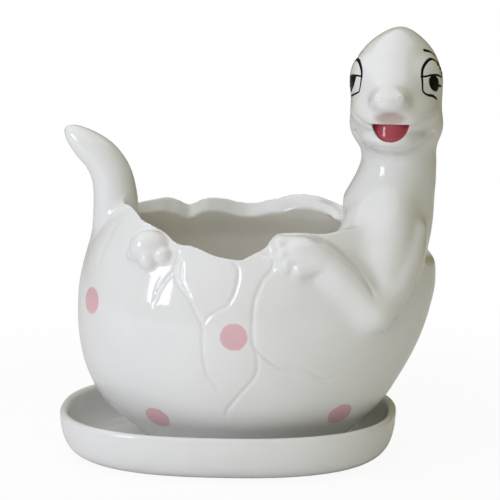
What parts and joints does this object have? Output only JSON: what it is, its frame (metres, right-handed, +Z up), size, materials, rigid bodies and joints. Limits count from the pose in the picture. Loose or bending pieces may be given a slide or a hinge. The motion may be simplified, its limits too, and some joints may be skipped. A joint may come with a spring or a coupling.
{
  "type": "animal shaped planter",
  "caption": "Glazed ceramic plant pot shaped like a young dinosaur lying in its broken egg, with an oval drip saucer.",
  "frame": {"origin": "middle of the saucer's flat underside, on the surface that it stands on", "axes": "+Z up, +X from the tail end towards the neck end along the egg's length, -Y towards the front that the face looks at"},
  "size_m": [0.1732, 0.1156, 0.1971],
  "materials": {
    "white_glaze": "gloss",
    "saucer_glaze": "gloss"
  },
  "bodies": {
    "saucer": {"drip_saucer": "saucer_glaze"},
    "planter": {"egg_pot": "white_glaze", "neck_and_head": "white_glaze", "tail": "white_glaze", "near_arm": "white_glaze", "far_arm": "white_glaze", "near_foot": "white_glaze", "far_foot": "white_glaze"}
  },
  "joints": [
    {"name": "pot_lift", "type": "slide", "parent": "saucer", "child": "planter", "axis": [0, 0, 1], "range_m": [0, 0.06]}
  ]
}
